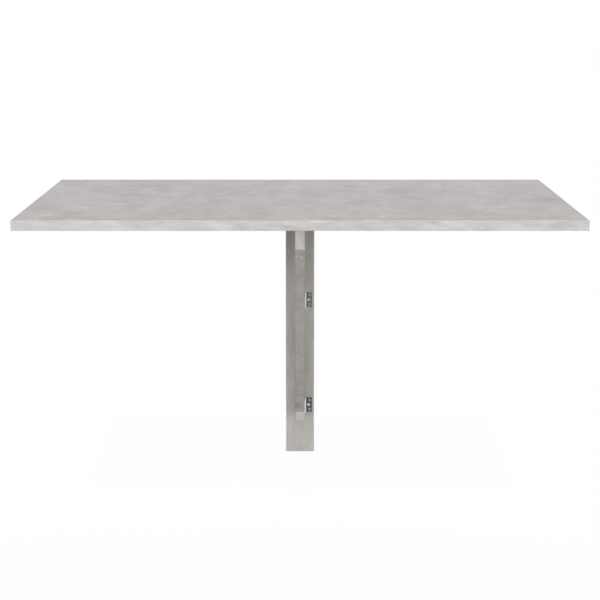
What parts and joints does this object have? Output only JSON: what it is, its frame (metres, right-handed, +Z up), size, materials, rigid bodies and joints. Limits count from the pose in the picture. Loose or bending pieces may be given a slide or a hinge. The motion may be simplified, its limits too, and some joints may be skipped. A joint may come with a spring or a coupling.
{
  "type": "wall mounted drop leaf table",
  "caption": "Wall-mounted drop-leaf table with a concrete-look board top, a fixed strip at the wall, an upright wall board and a swinging triangular support bracket.",
  "frame": {"origin": "middle of the wall rail's back face, on the wall plane", "axes": "+Z up, +Y into the wall, +X to the right of someone facing the wall"},
  "size_m": [1, 0.6, 0.586],
  "materials": {
    "concrete_board": "matt melamine facing on particle board, pale concrete grey",
    "edge_band": "matt edge band in the same concrete decor",
    "hinge_steel": "zinc plated stamped sheet",
    "pin_steel": "drawn wire",
    "screw_steel": "zinc plated",
    "dowel_beech": "plain beech",
    "cam_zinc": "die cast zinc and plated steel"
  },
  "bodies": {
    "wall_frame": {"cam_bolts": "cam_zinc", "cam_locks": "cam_zinc", "left_seam_hinge_pin": "pin_steel", "left_seam_hinge_strip_leaf": "hinge_steel", "lower_hinge_pin": "pin_steel", "lower_hinge_spine_leaf": "hinge_steel", "middle_seam_hinge_pin": "pin_steel", "middle_seam_hinge_strip_leaf": "hinge_steel", "rail_bottom_band": "edge_band", "rail_left_band": "edge_band", "rail_right_band": "edge_band", "right_seam_hinge_pin": "pin_steel", "right_seam_hinge_strip_leaf": "hinge_steel", "spine": "concrete_board", "spine_bottom_band": "edge_band", "spine_dowels": "dowel_beech", "spine_hinge_screws": "screw_steel", "spine_left_band": "edge_band", "spine_right_band": "edge_band", "strip_dowels": "dowel_beech", "strip_front_band": "edge_band", "strip_hinge_screws": "screw_steel", "strip_left_band": "edge_band", "strip_right_band": "edge_band", "top_strip": "concrete_board", "upper_hinge_pin": "pin_steel", "upper_hinge_spine_leaf": "hinge_steel", "wall_rail": "concrete_board"},
    "bracket": {"bracket_edge_band": "edge_band", "bracket_hinge_screws": "screw_steel", "lower_hinge_bracket_leaf": "hinge_steel", "support_bracket": "concrete_board", "upper_hinge_bracket_leaf": "hinge_steel"},
    "leaf": {"drop_leaf": "concrete_board", "leaf_front_band": "edge_band", "leaf_hinge_screws": "screw_steel", "leaf_left_band": "edge_band", "leaf_rear_band": "edge_band", "leaf_right_band": "edge_band", "left_seam_hinge_moving_leaf": "hinge_steel", "middle_seam_hinge_moving_leaf": "hinge_steel", "right_seam_hinge_moving_leaf": "hinge_steel"}
  },
  "joints": [
    {"name": "bracket_swing", "type": "hinge", "parent": "wall_frame", "child": "bracket", "pos_m": [0.0113, -0.0203, -0.31], "axis": [0, 0, 1], "range_deg": [0, 90]},
    {"name": "leaf_lift", "type": "hinge", "parent": "wall_frame", "child": "leaf", "pos_m": [0, -0.061, 0.0377], "axis": [-1, 0, 0], "range_deg": [0, 5]}
  ]
}
